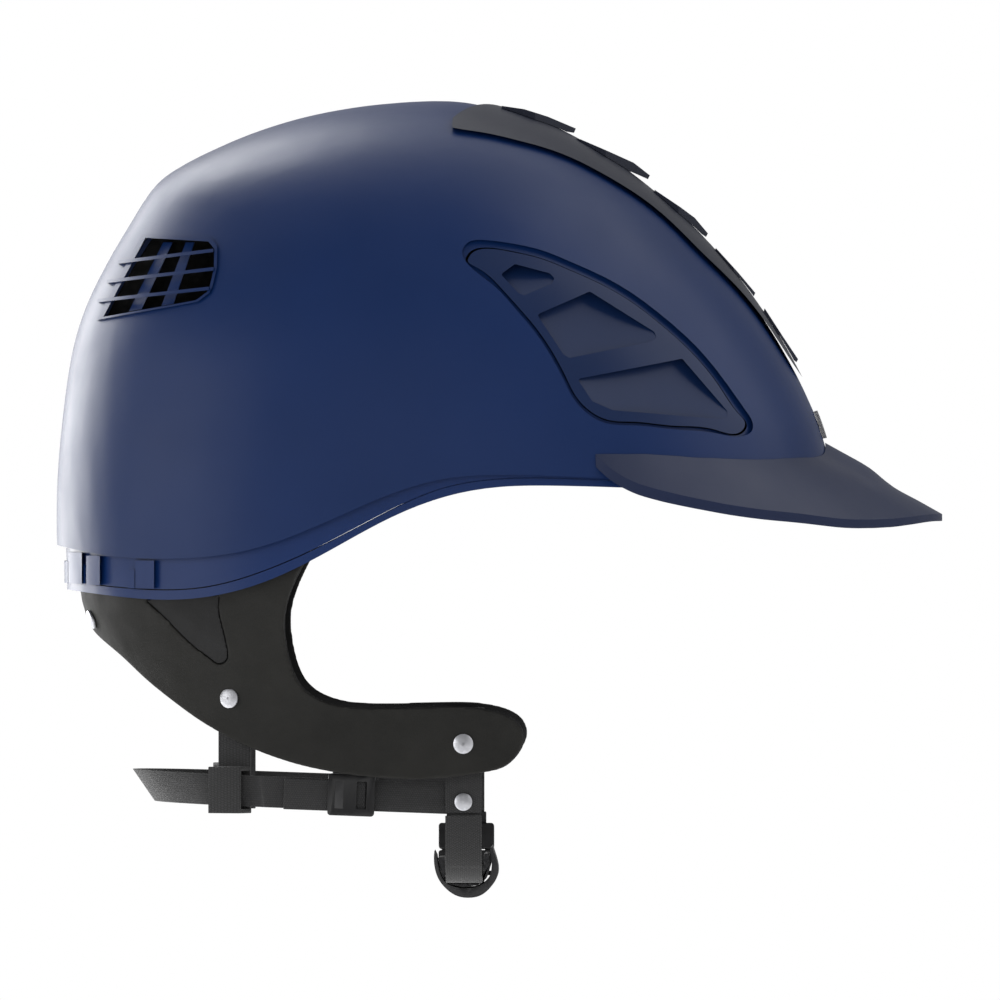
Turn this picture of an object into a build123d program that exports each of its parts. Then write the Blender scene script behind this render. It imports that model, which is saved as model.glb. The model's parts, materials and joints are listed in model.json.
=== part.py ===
from build123d import *
import math
import os

import numpy as np

os.makedirs("parts", exist_ok=True)

# Frame: +X towards the face, +Y wearer's left, +Z up, origin at the centre of the head at brow height.
SHELL_T = 3.0  # painted outer shell
HULL_T = 1.4  # black moulded hull under the shell
SHELL_HALF_WIDTH = 104.0
HEAD = (108.0, 82.0, 112.0)  # half axes of the hollow in the foam
PAD_T = 5.0  # comfort padding
LEATHER_T = 2.2
LINING_T = 1.8
WEB_T = 2.0  # webbing thickness
SIDE_WEB_W = 13.2
NAPE_WEB_W = 11.3
PEAK_T = 2.2
PEAK_GAP = 0.3
UPPER_RIVET = (8.8, -89.4)
LOWER_RIVET = (8.8, -110.6)
LOOP_RIVET = (-75.9, -73.0)
PIN_R = 1.5
BORE_R = 1.55
STRAP_Y = 64.0  # centre of the side webbing where it leaves the leather
STRAP_TILT = 4.0  # inward lean of the side webbing, degrees
CHIN_Z = -139.5
LOWEST, TOP = -75.0, 144.2

# Side profile of the shell on its centre plane, from the crown down.
REAR = [(0, 144.2), (-22, 143.0), (-53.4, 137.3), (-84.6, 125.2), (-98.5, 116.8), (-103.6, 112.2),
        (-107.2, 107.6), (-121.9, 84.9), (-131.9, 62.5), (-137.6, 32), (-140.2, -3), (-140, -20), (-139, -75)]
FRONT = [(0, 144.2), (22, 140.6), (48, 129.6), (75, 110.8), (99, 87.6), (116.3, 65.2), (131, 39.6),
         (140.6, 15), (147, -12), (156, -75)]
# Character line round the crown, seen from the side.
CREASE = [(-125, 112), (-101.8, 112.4), (-83.2, 111.5), (-68.6, 113.2), (-45.6, 116.4), (-24.8, 120.1),
          (5.5, 121.9), (24.1, 120.8), (48.5, 114.6), (72.6, 103.7), (96.7, 84.3), (108.8, 68.6),
          (121.2, 49.3), (133.2, 26.3), (142, 10)]
# Edges seen from the side.
SHELL_EDGE = [(-170, -16.5), (-139, -17.9), (-122.6, -20.8), (-96.7, -22.1), (-70.8, -19.3), (-49.3, -12.4),
              (-19, 0.7), (1.8, 6.9), (23.4, 8.4), (58, 7.3), (100, 6), (170, 3.5)]
TRIM_TOP = [(-170, -30.5), (-124.1, -32.2), (-103.3, -33.6), (-86.1, -32.8), (-64.2, -27), (-37.2, -14.9),
            (-19, -5.4), (1.8, 3.4), (23.4, 6.8), (58, 6.4), (100, 5.1), (170, 2.6)]
TRIM_BOTTOM = [(-170, -32.6), (-136.1, -33.9), (-122.6, -35.4), (-96.7, -37.0), (-70.8, -33), (-46.7, -23),
               (-15.3, -6.2), (7.7, 1.8), (21.2, 3.9), (43.8, 4.4), (75.2, 3.4), (110, 2.0), (170, -0.4)]
VENT = [(-107.3, 94.5), (-83.6, 93.1), (-81.4, 90.5), (-81.4, 83.2), (-82.9, 76.7), (-84, 74.5), (-88, 71.5),
        (-95.6, 70.1), (-110.6, 67.5), (-122.8, 65.3)]
INSERT = [(8.8, 90.2), (11, 92.7), (17.2, 93.4), (25.9, 92.3), (37.2, 89.8), (48.2, 85.4), (59.5, 80.3),
          (70.8, 73.7), (81.8, 65.3), (93.1, 55.1), (104.2, 41.6), (111.7, 31), (113.9, 26.6), (113.5, 24.1),
          (110.2, 22.3), (100.4, 23.4), (85.4, 24.8), (70.8, 26.3), (61, 27), (54.4, 30.3), (49.1, 35.8),
          (45.3, 43.1), (40.9, 51.3), (35, 60.2), (28.1, 68.3), (20.8, 76.3), (11.7, 83.6), (9.1, 86.9)]
INSERT_FIELD = [(9.9, 86.9), (12.4, 89.8), (17.2, 90.7), (25.5, 89.6), (36.3, 87.1), (47.2, 82.8), (58.3, 77.8),
                (69.4, 71.4), (80.2, 63.2), (91.3, 53.2), (102.2, 40.0), (109.6, 29.6), (111.7, 26.4),
                (111.4, 24.8), (109.9, 23.2), (100.4, 24.2), (85.4, 25.6), (70.8, 27.1), (61.3, 27.8),
                (55, 30.9), (49.8, 36.2), (46, 43.4), (41.6, 51.7), (35.7, 60.6), (28.8, 68.8), (21.4, 77),
                (12.2, 84.3)]
# Pocket outline, then the two points where its floor comes flush and the corner where it is deepest.
POCKETS = [
    ([(22.6, 81), (27.7, 84.7), (40.2, 81.4), (42, 79.6), (41.2, 77.7), (31.2, 73.4), (29.2, 74.1)],
     (41.6, 77.4), (30.2, 73.2), (25.0, 83.2)),
    ([(35.8, 66.4), (54.8, 74.8), (78.1, 60.2), (79, 58), (77, 56.6), (47.5, 50.7), (45.3, 52)],
     (78, 56.4), (46.4, 50.4), (46, 71)),
    ([(50.4, 43.1), (88.3, 50.4), (104.6, 31.4), (104.6, 29.2), (102.6, 28.5), (63.1, 31.8), (55.8, 35)],
     (103.4, 28.2), (60, 31.6), (70, 47)),
]
STRIP_EDGE = [(-5, 137.5), (6.6, 134), (16.8, 132.4), (27.7, 129.9), (39, 126.8), (50.4, 122.3), (61.5, 116.4),
              (72.6, 109.5), (83.9, 100.4), (95.3, 89.1), (106.5, 78.2), (117.7, 64.8), (128.8, 48),
              (134.7, 39.2), (140, 28)]
PANEL = [(-136, -25.5), (-134, -30), (-131.4, -34.3), (-130.9, -38.7), (-129.2, -44.7), (-125.9, -49.6), (-116.8, -57.3),
         (-107.3, -65.9), (-97.5, -73.7), (-89, -79.9), (-82.5, -84), (-75.9, -87.6), (-61.3, -93.8),
         (-49.3, -97.5), (-37, -100), (-12.8, -102.2), (1.8, -101.8), (15, -100), (23.4, -97.8), (28.5, -93.1),
         (30.7, -87.6), (29.6, -83.6), (19.7, -77.7), (-0.7, -76.3), (-24.8, -76.7), (-37.2, -75.6),
         (-49.3, -69.5), (-54.8, -56.9), (-55.8, -42.3), (-51.5, -28.8), (-44, -16), (-40, -10), (-51, -15),
         (-64, -21), (-86, -27), (-103, -27.6), (-124, -26.5)]
GUSSET = [(-107.3, -36.9), (-97.5, -46), (-88, -55.1), (-83, -58.8), (-79.6, -60.6), (-77, -59.1), (-76.7, -55.5),
          (-78.1, -48.5), (-79.6, -42.3), (-79.2, -35)]


def curve(points, ends=None):
    """Evenly dense samples along a smooth curve through a few points."""
    line = Spline(*points, tangents=ends) if ends else Spline(*points)
    return np.array([tuple(p)[:2] for p in line.positions(np.linspace(0, 1, 1200))])


rear_line = curve(REAR, [(-1, 0), (1, -55)])[::-1]
front_line = curve(FRONT, [(1, 0), (9, -63)])[::-1]
crease_line = curve(CREASE)


def in_section(x, y, z):
    """True inside the plain egg-shaped dome."""
    level = np.clip(z, LOWEST, TOP - 1e-6)
    back = np.interp(level, rear_line[:, 1], rear_line[:, 0])
    front = np.interp(level, front_line[:, 1], front_line[:, 0])
    t = np.clip((level - 25) / (TOP - 25), 0, 1)
    half = SHELL_HALF_WIDTH * (1 - t**2.15) ** (1 / 2.15)
    widest = -12 * (1 - t)
    power = 2.25 - 0.25 * t
    reach = np.where(x > widest, front - widest, widest - back)
    f = (np.abs(x - widest) / np.maximum(reach, 1e-6)) ** power + (np.abs(y) / np.maximum(half, 1e-6)) ** power
    return (f < 1) & (z < TOP)


CENTRE = np.array([0, 0, -220.0])


def dome_points(offset):
    a, b = np.meshgrid(np.tan(np.radians(np.linspace(-45, 46, 53))),
                       np.tan(np.radians(np.linspace(-38, 38, 43))), indexing="ij")
    rays = np.stack([a, b, np.ones_like(a)], -1)
    low, high = np.full(a.shape, 10.0), np.full(a.shape, 420.0)
    for _ in range(42):
        mid = (low + high) / 2
        p = CENTRE + rays * mid[..., None]
        hit = in_section(p[..., 0], p[..., 1], p[..., 2])
        low, high = np.where(hit, mid, low), np.where(hit, high, mid)
    p = CENTRE + rays * low[..., None]
    n = np.cross(np.gradient(p, axis=0), np.gradient(p, axis=1))
    n /= np.linalg.norm(n, axis=-1, keepdims=True)
    # A soft ridge along the character line, faded out on the crown and the flanks.
    side = np.stack([p[..., 0], p[..., 2]], -1)
    gap = side[:, :, None, :] - crease_line[None, None, ::12, :]
    near = np.sqrt((gap**2).sum(-1).min(-1))
    ridge = -0.11 * np.sqrt(near**2 + 9) + 0.11 * 3
    ridge = (ridge + 2.2) * np.exp(-((near / 26) ** 2)) * np.clip((p[..., 2] - 0) / 30, 0, 1)
    return p + n * (ridge[..., None] * 0.5 + offset)


def sheet(points):
    """A smooth surface through rows of points."""
    rows = [Wire([Spline(*[Vector(*q) for q in row]).edge()]) for row in points]
    return Shell.make_loft(rows).faces()[0]


faces = {}


def dome_face(offset):
    if offset not in faces:
        rows = [[Vector(*q) for q in row] for row in dome_points(offset)]
        faces[offset] = Face.make_surface_from_array_of_points(rows, tol=0.05, min_deg=3, max_deg=3)
    return faces[offset]


def girth(solid):
    box = solid.bounding_box()
    return math.hypot(max(abs(box.min.X), abs(box.max.X)), max(abs(box.min.Y), abs(box.max.Y)))


def spread(solid):
    """How far the corners of a piece's box lie from the point the dome is drawn round."""
    box = solid.bounding_box()
    across = [max(abs(box.min.X), abs(box.max.X)), max(abs(box.min.Y), abs(box.max.Y))]
    return math.hypot(*across, box.max.Z - CENTRE[2])


def cut_by(solid, face):
    """The piece inside a dome surface, and everything outside it."""
    pieces = sorted(solid.split(face, keep=Keep.ALL), key=spread)
    return pieces[0], list(pieces[1:])


def joined(solids):
    solids = [s for item in solids for s in item.solids()]
    return solids[0] if len(solids) == 1 else Compound(children=solids)


def layer(block, outer, inner):
    """The slice of a block between two offsets of the dome."""
    kept = []
    for solid in block.solids():
        inside, _ = cut_by(solid, dome_face(outer))
        _, outside = cut_by(inside, dome_face(inner))
        kept += outside
    return joined(kept)


def side_face(points, y, smooth=False):
    plane = Plane(origin=(0, y, 0), x_dir=(1, 0, 0), z_dir=(0, -1, 0))
    if smooth == "round":
        return plane * Face(Wire([Spline(*points, periodic=True).edge()]))
    if smooth:
        edges = [Spline(*points).edge(), *Polyline(points[-1], *smooth, points[0]).edges()]
        return plane * Face(Wire(edges))
    return plane * Face(Wire.make_polygon([Vector(*p) for p in points]))


def prism(points, y0, y1, smooth=False):
    """Side outline carried across from y0 to y1."""
    return Solid.extrude(side_face(points, y1, smooth), Vector(0, y0 - y1, 0))


def rounded(points, y0, y1, r):
    face = side_face(points, y1)
    face = face.fillet_2d(r, face.vertices())
    return Solid.extrude(face, Vector(0, y0 - y1, 0))


def above(edge, shift=0.0, y0=-200, y1=200, top=200):
    points = [(x, z + shift) for x, z in edge]
    return prism(points, y0, y1, smooth=[(points[-1][0], top), (points[0][0], top)])


def below(edge, shift=0.0, y0=-200, y1=200, bottom=-70):
    points = [(x, z + shift) for x, z in edge]
    return prism(points, y0, y1, smooth=[(points[-1][0], bottom), (points[0][0], bottom)])


def between(low, high, y0=-200, y1=200):
    """The strip of the side view between two edges."""
    plane = Plane(origin=(0, y1, 0), x_dir=(1, 0, 0), z_dir=(0, -1, 0))
    edges = [Spline(*low).edge(), Line(low[-1], high[-1]).edge(), Spline(*high).edge(), Line(high[0], low[0]).edge()]
    return Solid.extrude(plane * Face(Wire(edges)), Vector(0, y0 - y1, 0))


def mirrored(shape):
    return shape.mirror(Plane.XZ)


def surface_y(x, z):
    """Where the plain dome lies on the wearer's right at one side-view point."""
    low, high = 0.0, 120.0
    for _ in range(40):
        mid = (low + high) / 2
        low, high = (mid, high) if in_section(x, mid, z) else (low, mid)
    return -low


def block(x0, x1, y0, y1, z0, z1):
    return Pos((x0 + x1) / 2, (y0 + y1) / 2, (z0 + z1) / 2) * Box(x1 - x0, y1 - y0, z1 - z0)


def save(name, shape):
    shape = Compound(children=list(shape.solids())) if len(shape.solids()) > 1 else shape.solids()[0]
    export_step(shape, f"parts/{name}.step")
    print(name, len(shape.solids()), round(shape.volume), flush=True)
    return shape


full = Solid.make_box(400, 400, 270, Plane((-200, -200, -70)))

# ---- painted shell, hull and foam -------------------------------------------------------------
shell = layer(above(SHELL_EDGE), 0.0, -SHELL_T)
hull = layer(above(TRIM_TOP, 0.4), -SHELL_T - 0.3, -SHELL_T - 0.3 - HULL_T)
foam_d = -SHELL_T - 0.3 - HULL_T - 0.3
foam = cut_by(above(TRIM_TOP, 0.4), dome_face(foam_d))[0]


def hollow(shrink):
    a, b, c = (h - shrink for h in HEAD)
    ball = scale(Solid.make_sphere(1, angle1=-90, angle2=90, angle3=360), by=(a, b, c))
    tube = Solid.extrude(Ellipse(a, b).face(), Vector(0, 0, -90))
    return ball, tube


ball, tube = hollow(0)
foam = foam - ball - tube
vent_r = prism(VENT, -200, -30)
insert_r = prism(INSERT, -200, -20, "round")
field_r = prism(INSERT_FIELD, -200, -20, "round")
for block_r in (vent_r, mirrored(vent_r)):
    shell, hull, foam = shell - block_r, hull - block_r, foam - block_r
rebate_r = layer(insert_r, 3.0, -1.7)
seat_r = layer(insert_r, 3.0, -8.3)
for a, b in ((rebate_r, field_r), (mirrored(rebate_r), mirrored(field_r))):
    shell = shell - a - b
for a in (seat_r, mirrored(seat_r)):
    hull, foam = hull - a, foam - a
# Rebate in the foam's lower rim for the leather that comes up inside it.
lip = layer(below(TRIM_TOP, 9.5), foam_d + 0.2, -14.0)
foam = foam - lip
save("outer_shell", shell)
save("inner_hull", hull)
save("eps_liner", foam)

# ---- rim trim and its posts ---------------------------------------------------------------------
trim = layer(between(TRIM_BOTTOM, TRIM_TOP), -3.4, -6.6)
save("rim_trim", trim)
posts = []
for x0, x1, z0, z1, step in ((-135.4, -130.2, -31.6, -20.2, 2.0), (-128.5, -123.4, -32.0, -21.3, 2.0),
                             (-110.2, -103.3, -33.0, -22.8, 2.6)):
    slab = prism([(x0, z0), (x1, z0), (x1, z1), (x0, z1)], -200, 0)
    thin = prism([(x0 - step, z0), (x0 - 0.3, z0), (x0 - 0.3, z1 - 3.4), (x0 - step, z1 - 3.4)], -200, 0)
    for body, outer in ((slab, -1.4), (thin, -2.4)):
        piece = layer(body, outer, -SHELL_T - 0.15)
        posts += [piece, mirrored(piece)]
save("rim_posts", joined(posts))

# ---- side inserts ---------------------------------------------------------------------------------
inner_field = [(x * 0.985 + 1.0, z * 0.985 + 0.9) for x, z in INSERT_FIELD]
insert = layer(prism(inner_field, -200, -20, "round"), 0.2, -7.8)
for outline, a, b, deep in POCKETS:
    flush_a = Vector(a[0], surface_y(*a), a[1])
    flush_b = Vector(b[0], surface_y(*b), b[1])
    floor = Vector(deep[0], surface_y(*deep) + 5.2, deep[1])
    normal = (flush_b - flush_a).cross(floor - flush_a).normalized()
    if normal.Y > 0:
        normal = normal * -1
    room = Plane(origin=flush_a, z_dir=normal) * (Pos(0, 0, 30) * Box(300, 300, 60))
    face = side_face(outline, -20)
    face = face.fillet_2d(0.8, face.vertices())
    cutter = Solid.extrude(face, Vector(0, -180, 0)) & room
    insert = insert - cutter
save("side_insert_right", insert)
save("side_insert_left", mirrored(insert))

# ---- rear vents -----------------------------------------------------------------------------------
middle = np.mean(np.array(VENT), axis=0)
frame_out = [tuple(middle + (np.array(p) - middle) * 1.075) for p in VENT]
frame_in = [tuple(middle + (np.array(p) - middle) * 0.985) for p in VENT]
border = layer(prism(frame_out, -200, -30), 0.95, 0.2) - prism(frame_in, -200, -30)
bars = []
for (x0, z0), (x1, z1) in (((-117.3, 85.4), (-81.9, 89.7)), ((-121.3, 78.4), (-81.7, 83.0)),
                           ((-124.6, 71.4), (-83.4, 75.9))):
    h = 0.62
    strip = prism([(x0, z0 - h), (x1, z1 - h), (x1, z1 + h), (x0, z0 + h)], -200, -18)
    bars.append(layer(strip, 1.6, 0.2))
grille = border
for bar in bars:
    grille = grille + bar
ribs = []
for corners in ([(-100.6, 92.6), (-97.1, 92.6), (-108.2, 68.3), (-113.0, 67.5)],
                [(-92.2, 92.6), (-89.0, 92.6), (-96.4, 70.3), (-100.9, 69.5)]):
    ribs.append(layer(prism(corners, -200, -30), -3.4, -9.0))
save("rear_grille_right", grille)
save("rear_grille_left", mirrored(grille))
save("rear_ribs_right", joined(ribs))
save("rear_ribs_left", mirrored(joined(ribs)))

# ---- crown strip, scoops and front badge ----------------------------------------------------------
notch = Polyline((-60, -60), (-60, 60), (4.7, 60), (4.7, 42), (22.3, 0), (4.7, -42), (4.7, -60), close=True)
behind_notch = Pos(0, 0, -10) * Solid.extrude(Face(Wire(notch.edges())), Vector(0, 0, 200))
strip_block = above(STRIP_EDGE, 0, -90, 90, 170) - behind_notch - block(136.4, 200, -90, 90, -60, 200)
strip = layer(strip_block, 1.6, 0.2)
save("crown_strip", strip)

# Scoop: start on the strip, crest, lip, throat, and half width at the back.
SCOOPS = [
    ([(22.3, 137), (22.3, 142.4), (30.5, 141.2), (39.1, 138.5), (49.3, 134.2), (48.6, 132.6), (40.4, 133.9),
      (41.4, 131), (36, 128)], 22.3, 49.3, 15.0),
    ([(46, 126), (47.1, 130.8), (51.1, 130.2), (61.3, 125.8), (70.4, 121.7), (76.3, 117.1), (75.6, 115.7),
      (69.2, 118.5), (70.6, 115.5), (64, 112)], 47.1, 76.3, 14.0),
    ([(76, 104), (78.1, 111.8), (87.6, 105.4), (92.7, 101.6), (97.5, 95.9), (96.8, 94.6), (92.6, 97.4),
      (93.4, 94.4), (86, 92)], 78.1, 97.5, 11.5),
    ([(98, 84), (100.4, 90.6), (108.4, 81.8), (114.8, 74.2), (114.2, 72.9), (110.4, 75.6), (111, 72.6),
      (104, 72)], 100.4, 114.8, 9.0),
    ([(116, 62), (118.2, 68.6), (124.8, 58.4), (130.4, 50.0), (129.8, 48.9), (126.9, 51.0), (127, 47.6),
      (121, 48)], 118.2, 130.4, 7.0),
]
scoops = []
for outline, x0, x1, half in SCOOPS:
    body = prism(outline, -half, half)
    reach = (x1 - x0) * 0.55
    plan = Polyline((x0 - 4, -half), (x1 - reach, -half), (x1 + 0.5, 0), (x1 - reach, half), (x0 - 4, half),
                    (x0 + reach * 0.4 - 4, 0), close=True)
    plan = Pos(0, 0, -10) * Solid.extrude(Face(Wire(plan.edges())), Vector(0, 0, 200))
    body = body & plan
    for solid in body.solids():
        outside = cut_by(solid, dome_face(1.75))[1]
        scoops += [s for s in outside if s.volume > 1]
save("crown_scoops", joined(scoops))
badge_side = [(132, 29.5), (144, 33.5), (147, 22.5), (134, 20)]
badge = layer(prism(badge_side, -8.2, 8.2), 1.5, 0.2)
save("front_badge", badge)

# ---- peak --------------------------------------------------------------------------------------------
PEAK_PLAN = [(56.9, 96.2), (65.3, 98.2), (77.7, 97.6), (95.3, 93.0), (113.2, 85.2), (130.7, 75), (146, 64), (158, 52),
             (168.5, 39), (177.5, 22), (183, 0)]
HUB_X = 20.0
# Along the join with the shell: angle from straight ahead, height, and fall per mm outward.
PEAK_RISE = [(0, 15.7, 0.53), (12, 14.2, 0.62), (22.7, 13.6, 0.93), (34.5, 13.6, 1.13), (42.4, 14.2, 1.34),
             (51, 15.4, 1.42), (59.3, 16.2, 1.62), (66, 14.6, 1.75), (90, 11, 1.9)]
PEAK_ROOT = [(0, 124), (22.7, 120.4), (34.5, 115), (42.4, 111.5), (51, 107.5), (59.3, 105.2), (66, 104), (90, 103)]


def peak_points(drop):
    x, y = np.meshgrid(np.linspace(38, 196, 27), np.linspace(-116, 116, 41), indexing="ij")
    angle, radius = np.degrees(np.arctan2(np.abs(y), x - HUB_X)), np.hypot(x - HUB_X, y)
    smooth = lambda table, k: sum(np.interp(np.abs(angle + d), [r[0] for r in table], [r[k] for r in table])
                                  for d in (-5, -2.5, 0, 2.5, 5)) / 5
    root, height, fall = smooth(PEAK_ROOT, 1), smooth(PEAK_RISE, 1), smooth(PEAK_RISE, 2)
    out = radius - root
    z = height - fall * out
    # Spine on the centre and a shallow crease either side of it.
    spine = 2.4 * np.exp(-((y / 13) ** 2)) * np.clip(1 - np.maximum(out - 12, 0) / 10, 0, 1)
    belly = 1.6 * np.sin(np.pi * np.clip(out / 40, 0, 1)) * np.clip((np.abs(y) - 8) / 25, 0, 1)
    p = np.stack([x, y, z + spine + belly], -1)
    n = np.cross(np.gradient(p, axis=0), np.gradient(p, axis=1))
    return p + n / np.linalg.norm(n, axis=-1, keepdims=True) * drop


right = [(x, -y) for x, y in PEAK_PLAN[:-1]]
edge = Spline(*right, PEAK_PLAN[-1], *reversed(PEAK_PLAN[:-1])).edge()
back = Line(edge @ 1, edge @ 0).edge()
peak_block = Pos(0, 0, -40) * Solid.extrude(Face(Wire([edge, back])), Vector(0, 0, 90))
upper, lower = sheet(peak_points(0)), sheet(peak_points(-PEAK_T))
below_top = sorted(peak_block.split(upper, keep=Keep.ALL), key=lambda s: s.center().Z)[0]
peak = sorted(below_top.split(lower, keep=Keep.ALL), key=lambda s: s.center().Z)[-1]
peak = sorted(peak.split(dome_face(PEAK_GAP), keep=Keep.ALL), key=lambda s: s.center().X)[-1]
save("peak", peak)

# ---- comfort padding -------------------------------------------------------------------------------
outer_ball, outer_tube = hollow(0.3)
inner_ball, inner_tube = hollow(0.3 + PAD_T)
pad_band = above(TRIM_TOP, 4, -200, 200, 24) - block(-200, 200, -200, 200, 24, 250)
pad_band = (outer_ball & pad_band) + (outer_tube & pad_band)
pad_band = pad_band - inner_ball - inner_tube
save("headband_pad", pad_band)
crown = outer_ball - inner_ball
pads = []
for x0, x1, y0, y1 in ((-92, -34, -17, 17), (34, 92, -17, 17), (-24, 24, -74, -34), (-24, 24, 34, 74),
                       (-24, 24, -20, 20)):
    column = Pos((x0 + x1) / 2, (y0 + y1) / 2, 75) * Box(x1 - x0, y1 - y0, 96)
    column = fillet(column.edges().filter_by(Axis.Z), 8)
    pads += [s for s in (crown & column).solids() if s.volume > 50]
save("crown_pads", joined(pads))

# ---- leather harness -------------------------------------------------------------------------------
# Level, rear reach and half width of the leather, tucked in at the rim and drawn in at the jaw.
HANG = [(8, -133, 97), (-20, -133, 97), (-30, -132.6, 96), (-38.7, -131, 91.5), (-49.6, -127.3, 84.5),
        (-60, -121.5, 78), (-74, -114, 72), (-84, -110, 70.4), (-102, -106, 70), (-125, -104, 70)]


def hang_points(inset):
    z = np.linspace(6, -122, 23)
    turn = np.radians(np.linspace(-132, 132, 61))
    level = [row[0] for row in HANG][::-1]
    soft = lambda k: sum(np.interp(z + d, level, [row[k] for row in HANG][::-1]) for d in (-5, -2.5, 0, 2.5, 5)) / 5
    back, half = -12 - soft(1) - inset, soft(2) - inset
    rows = []
    for level_z, a, b in zip(z, back, half):
        c, s = np.cos(turn), np.sin(turn)
        reach = np.where(c > 0, a, 150.0)
        r = 1 / ((np.abs(c) / reach) ** 2.25 + (np.abs(s) / b) ** 2.25) ** (1 / 2.25)
        rows.append(np.stack([-12 - r * c, r * s, np.full_like(r, level_z)], -1))
    return rows


hang_block = block(-160, 45, -120, 120, -118, 4)
hang_faces = {}


def hang_layer(outline, rest, outer, inner, y0=-130, y1=130):
    body = prism(outline, y0, y1, rest)
    for inset, keep in ((outer, 0), (inner, 1)):
        if inset not in hang_faces:
            hang_faces[inset] = sheet(hang_points(inset))
        pieces = sorted(body.split(hang_faces[inset], keep=Keep.ALL), key=girth)
        body = pieces[0] if keep == 0 else pieces[-1]
    return body


def hang_y(x, z, inset=0.0):
    """Half width of the leather surface at one side-view point."""
    level = [row[0] for row in HANG][::-1]
    a = -12 - np.interp(z, level, [row[1] for row in HANG][::-1]) - inset
    b = np.interp(z, level, [row[2] for row in HANG][::-1]) - inset
    reach = a if x < -12 else 150.0
    return float(b * (1 - (abs(x + 12) / reach) ** 2.25) ** (1 / 2.25))


def rivet(at, axis, cap_r, cap_h, shank, washer):
    """Domed cap outside, shank inward, washer at its end."""
    cap = Cylinder(cap_r, cap_h * 0.45, align=(Align.CENTER, Align.CENTER, Align.MIN))
    rise = cap_h * 0.55
    r = (cap_r**2 + rise**2) / (2 * rise)
    ball = Pos(0, 0, cap_h - r) * Sphere(r)
    cap = cap + (ball & (Pos(0, 0, cap_h * 0.45) * Cylinder(cap_r * 0.995, rise + 1,
                                                            align=(Align.CENTER, Align.CENTER, Align.MIN))))
    pin = Pos(0, 0, -shank) * Cylinder(PIN_R, shank + 0.1, align=(Align.CENTER, Align.CENTER, Align.MIN))
    foot = Pos(0, 0, -shank - 0.8) * Cylinder(washer, 0.8, align=(Align.CENTER, Align.CENTER, Align.MIN))
    return Plane(origin=at, z_dir=axis) * (cap + pin + foot)


def hole(at, axis, r, reach=14):
    return Plane(origin=at, z_dir=axis) * Cylinder(r, 2 * reach)


def both_sides(shape):
    return joined([shape, mirrored(shape)])


panel_in = LEATHER_T
lining_out, lining_in = LEATHER_T + 0.15, LEATHER_T + 0.15 + LINING_T
LINING = [(x + (0.4 if -60 < x and z < -20 and i > 17 else 0), z + (0.3 if i > 20 and z < -30 else 0))
          for i, (x, z) in enumerate(PANEL)]
panel = hang_layer(PANEL[:31], PANEL[31:], 0.0, panel_in)
lining = hang_layer(LINING[:31], LINING[31:], lining_out, lining_in)
middle = np.mean(np.array(GUSSET), axis=0)
gusset_in = [tuple(middle + (np.array(p) - middle) * 0.97) for p in GUSSET]
gusset_cut = prism(GUSSET, -130, 0, [(-92, -34.2)])
panel = panel - gusset_cut - mirrored(gusset_cut)
gusset = hang_layer(gusset_in, [(-92, -34.9)], 0.5, panel_in - 0.1, -130, -1)

upper_y = -hang_y(UPPER_RIVET[0], UPPER_RIVET[1])
loop_turn = math.radians(27)
loop_n = Vector(-math.sin(loop_turn), -math.cos(loop_turn), 0)
loop_y = -hang_y(LOOP_RIVET[0], LOOP_RIVET[1])
loop_at = Vector(LOOP_RIVET[0], loop_y, LOOP_RIVET[1]) + loop_n * 0.55
upper = rivet(Vector(UPPER_RIVET[0], upper_y - 0.25, UPPER_RIVET[1]), (0, -1, 0), 3.6, 1.6, 8.9, 2.9)
loop_rivet = rivet(loop_at, loop_n, 3.55, 1.6, 12.15, 2.9)
nape_n, nape_at = Vector(-1, -0.24, -0.34).normalized(), Vector(-126.66, -22, -44.6)
nape = rivet(nape_at + nape_n * 0.3, nape_n, 3.5, 1.5, 4.2, 2.7)
for at, axis in ((Vector(UPPER_RIVET[0], upper_y, UPPER_RIVET[1]), (0, -1, 0)), (loop_at, loop_n),
                 (nape_at, nape_n)):
    for cutter in (hole(at, axis, PIN_R + 0.12, 9), mirrored(hole(at, axis, PIN_R + 0.12, 9))):
        panel, lining = panel - cutter, lining - cutter
for solid in (loop_rivet, mirrored(loop_rivet), nape, mirrored(nape), upper, mirrored(upper)):
    panel, lining = panel - solid, lining - solid
save("harness_panel", panel)
save("harness_lining", lining)
save("gusset_right", gusset)
save("gusset_left", mirrored(gusset))
save("upper_rivets", both_sides(upper))
save("loop_rivets", both_sides(loop_rivet))
save("nape_rivets", both_sides(nape))


# ---- side webbing and chin strap ------------------------------------------------------------------
lean = math.tan(math.radians(STRAP_TILT))


def web_y(z):
    return STRAP_Y + (z + 78) * lean


def web_piece(z_top, z_bottom, side):
    t = WEB_T / 2
    corners = [(side * (web_y(z_top) + t), z_top), (side * (web_y(z_top) - t), z_top),
               (side * (web_y(z_bottom) - t), z_bottom), (side * (web_y(z_bottom) + t), z_bottom)]
    face = Plane(origin=(UPPER_RIVET[0] - SIDE_WEB_W / 2, 0, 0), x_dir=(0, 1, 0), z_dir=(1, 0, 0)) * Face(
        Wire.make_polygon([Vector(*c) for c in corners]))
    return Solid.extrude(face, Vector(SIDE_WEB_W, 0, 0))


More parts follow.
